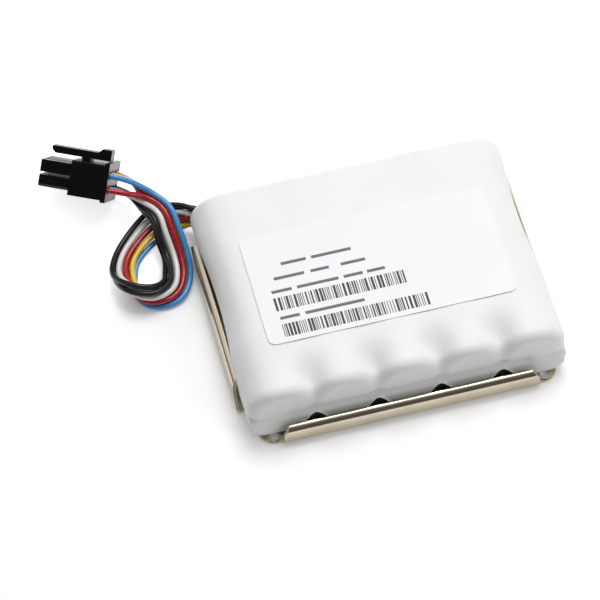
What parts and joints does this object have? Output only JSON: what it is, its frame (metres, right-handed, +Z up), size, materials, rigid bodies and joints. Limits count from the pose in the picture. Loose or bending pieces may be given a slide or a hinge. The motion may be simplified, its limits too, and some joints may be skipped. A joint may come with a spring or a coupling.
{
  "type": "raid cache protection module",
  "caption": "Flat capacitor pack in white shrink film on a plated sheet bracket, with a loop of coloured wires to a black latching plug; it keeps a disk controller's cache powered.",
  "frame": {"origin": "on the surface it stands on, under the middle of the bracket", "axes": "+X along the row of cans, +Y along the cans to the end where the wires leave, +Z up"},
  "size_m": [0.1296, 0.1045, 0.021],
  "materials": {
    "plated_steel": "satin plated sheet",
    "foam_tape": "matt closed-cell foam",
    "white_film": "semi-gloss shrink film",
    "label_white": "matt coated label",
    "can_metal": "drawn can",
    "tinned_lead": "tinned",
    "board_green": "solder mask",
    "chip_black": "moulded",
    "ceramic_tan": "ceramic",
    "header_white": "moulded",
    "bead_dark": "dipped",
    "plug_black": "satin moulded",
    "contact_brass": "plated",
    "wire_black": "smooth insulation",
    "wire_white": "smooth insulation",
    "wire_red": "smooth insulation",
    "wire_yellow": "smooth insulation",
    "wire_blue": "smooth insulation"
  },
  "bodies": {
    "root": {"bracket": "plated_steel", "mounting_tape": "foam_tape", "shrink_sleeve": "white_film", "rating_label": "label_white", "cell_leads": "tinned_lead", "balance_board": "board_green", "balance_resistors": "chip_black", "balance_transistors": "chip_black", "gauge_chip": "chip_black", "memory_chip": "chip_black", "chip_capacitors": "ceramic_tan", "wire_header": "header_white", "thermistor": "bead_dark", "connector_housing": "plug_black", "crimp_contacts": "contact_brass", "wire_black_1": "wire_black", "wire_black_2": "wire_black", "wire_white_1": "wire_white", "wire_white_2": "wire_white", "wire_red_1": "wire_red", "wire_red_2": "wire_red", "wire_yellow": "wire_yellow", "wire_blue": "wire_blue", "cell_1": "can_metal", "cell_2": "can_metal", "cell_3": "can_metal", "cell_4": "can_metal", "cell_5": "can_metal"}
  },
  "joints": []
}
